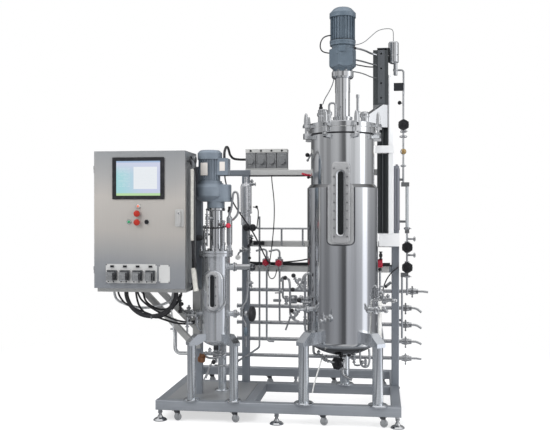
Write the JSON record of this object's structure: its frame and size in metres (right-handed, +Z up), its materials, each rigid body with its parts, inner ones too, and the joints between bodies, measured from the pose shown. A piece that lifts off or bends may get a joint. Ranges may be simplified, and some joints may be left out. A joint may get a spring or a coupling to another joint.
{
  "type": "pilot-scale bioreactor skid",
  "caption": "Floor-standing stainless skid with a large and a small stirred culture vessel, drives, control cabinet, utility pipework and lid lift",
  "frame": {"origin": "centre of the overall box in plan, at the soles of the levelling feet", "axes": "+Z up and the longest way, +X along the front from cabinet to outlets, -Y the front"},
  "size_m": [2.0628, 1.3269, 2.577],
  "materials": {
    "polished_steel": "polished stainless steel",
    "brushed_frame": "satin brushed stainless steel",
    "cabinet_steel": "vertical brushed stainless sheet",
    "motor_paint": "blue-grey enamel",
    "black_plastic": "black moulded plastic",
    "red_plastic": "red moulded plastic",
    "green_plastic": "green push button",
    "sight_glass": "borosilicate glass",
    "screen_glass": "lit touch screen",
    "seal_rubber": "white silicone",
    "cable_rubber": "black cable sheath",
    "grey_plastic": "grey moulded housings",
    "caster_rubber": "grey caster"
  },
  "bodies": {
    "skid": {"base_frame": "brushed_frame", "seed_tray": "brushed_frame", "levelling_feet": "polished_steel", "casters": "caster_rubber", "support_frame": "brushed_frame", "cabinet_arms": "brushed_frame", "main_vessel": "polished_steel", "main_jacket": "polished_steel", "main_legs": "polished_steel", "main_sight_frame": "polished_steel", "sight_glasses": "sight_glass", "main_lid": "polished_steel", "lid_gaskets": "seal_rubber", "main_clamps": "polished_steel", "main_pedestal": "polished_steel", "main_gearbox": "motor_paint", "main_motor": "motor_paint", "seed_vessel": "polished_steel", "seed_legs": "polished_steel", "seed_sight_frame": "polished_steel", "seed_lid": "polished_steel", "seed_clamps": "polished_steel", "seed_pedestal": "polished_steel", "seed_gearbox": "motor_paint", "seed_motor": "motor_paint", "lid_fittings": "polished_steel", "lift_column": "brushed_frame", "lift_carriage": "brushed_frame", "cabinet_case": "cabinet_steel", "rack_pumps": "grey_plastic", "utility_headers": "polished_steel", "outlet_valves": "polished_steel", "side_pipework": "polished_steel", "process_pipework": "polished_steel", "vessel_valves": "polished_steel", "cabinet_cables": "cable_rubber", "drive_cables": "cable_rubber"},
    "door": {"cabinet_door": "cabinet_steel", "hmi_bezel": "black_plastic", "hmi_screen": "screen_glass", "door_pumps": "grey_plastic", "panel_fittings": "black_plastic"},
    "handle": {"door_handle": "black_plastic"},
    "stop_upper": {"stop_button_upper": "red_plastic"},
    "stop_lower": {"stop_button_lower": "red_plastic"},
    "start": {"start_button": "green_plastic"},
    "selector": {"selector_switch": "black_plastic"},
    "main_stirrer": {"main_agitator": "polished_steel"},
    "seed_stirrer": {"seed_agitator": "polished_steel"},
    "drain_valve_wheel": {"drain_wheel": "black_plastic"},
    "lever_1": {"outlet_lever_1": "polished_steel"},
    "lever_2": {"outlet_lever_2": "polished_steel"},
    "lever_3": {"outlet_lever_3": "polished_steel"},
    "lever_4": {"outlet_lever_4": "polished_steel"},
    "lever_5": {"outlet_lever_5": "polished_steel"},
    "side_valve_wheel_1": {"side_wheel_1": "black_plastic"},
    "side_valve_wheel_2": {"side_wheel_2": "black_plastic"},
    "side_valve_wheel_3": {"side_wheel_3": "black_plastic"},
    "red_valve_wheel_1": {"red_wheel_1": "red_plastic"},
    "red_valve_wheel_2": {"red_wheel_2": "red_plastic"}
  },
  "joints": [
    {"name": "door_hinge", "type": "hinge", "parent": "skid", "child": "door", "pos_m": [-1.02644, -0.59775, 1.226], "axis": [0, 0, -1], "range_deg": [0, 120]},
    {"name": "handle_turn", "type": "hinge", "parent": "door", "child": "handle", "pos_m": [-0.48644, -0.6205, 1.284], "axis": [0, 1, 0], "range_deg": [0, 90]},
    {"name": "stop_upper_press", "type": "slide", "parent": "door", "child": "stop_upper", "axis": [0, 1, 0], "range_m": [0, 0.004]},
    {"name": "stop_lower_press", "type": "slide", "parent": "door", "child": "stop_lower", "axis": [0, 1, 0], "range_m": [0, 0.004]},
    {"name": "start_press", "type": "slide", "parent": "door", "child": "start", "axis": [0, 1, 0], "range_m": [0, 0.003]},
    {"name": "selector_turn", "type": "hinge", "parent": "door", "child": "selector", "pos_m": [-0.68944, -0.6205, 1.23], "axis": [0, -1, 0], "range_deg": [-45, 45]},
    {"name": "main_stirrer_spin", "type": "hinge", "parent": "skid", "child": "main_stirrer", "pos_m": [0.47456, -0.2435, 1.812], "axis": [0, 0, 1], "continuous": true},
    {"name": "seed_stirrer_spin", "type": "hinge", "parent": "skid", "child": "seed_stirrer", "pos_m": [-0.30944, -0.3985, 1.032], "axis": [0, 0, 1], "continuous": true},
    {"name": "lever_1_turn", "type": "hinge", "parent": "skid", "child": "lever_1", "pos_m": [0.87956, 0.1105, 0.305], "axis": [0, 1, 0], "range_deg": [0, 90]},
    {"name": "lever_2_turn", "type": "hinge", "parent": "skid", "child": "lever_2", "pos_m": [0.87956, 0.1105, 0.418], "axis": [0, 1, 0], "range_deg": [0, 90]},
    {"name": "lever_3_turn", "type": "hinge", "parent": "skid", "child": "lever_3", "pos_m": [0.87956, 0.1105, 0.531], "axis": [0, 1, 0], "range_deg": [0, 90]},
    {"name": "lever_4_turn", "type": "hinge", "parent": "skid", "child": "lever_4", "pos_m": [0.87956, 0.1105, 0.644], "axis": [0, 1, 0], "range_deg": [0, 90]},
    {"name": "lever_5_turn", "type": "hinge", "parent": "skid", "child": "lever_5", "pos_m": [0.92356, 0.1105, 0.757], "axis": [0, 1, 0], "range_deg": [0, 90]},
    {"name": "side_valve_wheel_1_turn", "type": "hinge", "parent": "skid", "child": "side_valve_wheel_1", "pos_m": [0.86356, 0.0355, 1.868], "axis": [0, -1, 0], "continuous": true},
    {"name": "side_valve_wheel_2_turn", "type": "hinge", "parent": "skid", "child": "side_valve_wheel_2", "pos_m": [0.88856, 0.0355, 1.058], "axis": [0, -1, 0], "continuous": true},
    {"name": "side_valve_wheel_3_turn", "type": "hinge", "parent": "skid", "child": "side_valve_wheel_3", "pos_m": [0.88856, 0.0355, 0.924], "axis": [0, -1, 0], "continuous": true},
    {"name": "red_valve_wheel_1_turn", "type": "hinge", "parent": "skid", "child": "red_valve_wheel_1", "pos_m": [-0.05244, -0.0002, 0.952], "axis": [0, -1, 0], "continuous": true},
    {"name": "red_valve_wheel_2_turn", "type": "hinge", "parent": "skid", "child": "red_valve_wheel_2", "pos_m": [0.03556, -0.0002, 0.95], "axis": [0, -1, 0], "continuous": true},
    {"name": "drain_valve_wheel_turn", "type": "hinge", "parent": "skid", "child": "drain_valve_wheel", "pos_m": [0.44096, -0.2883, 0.339], "axis": [-0.6, -0.8, 0], "continuous": true}
  ]
}
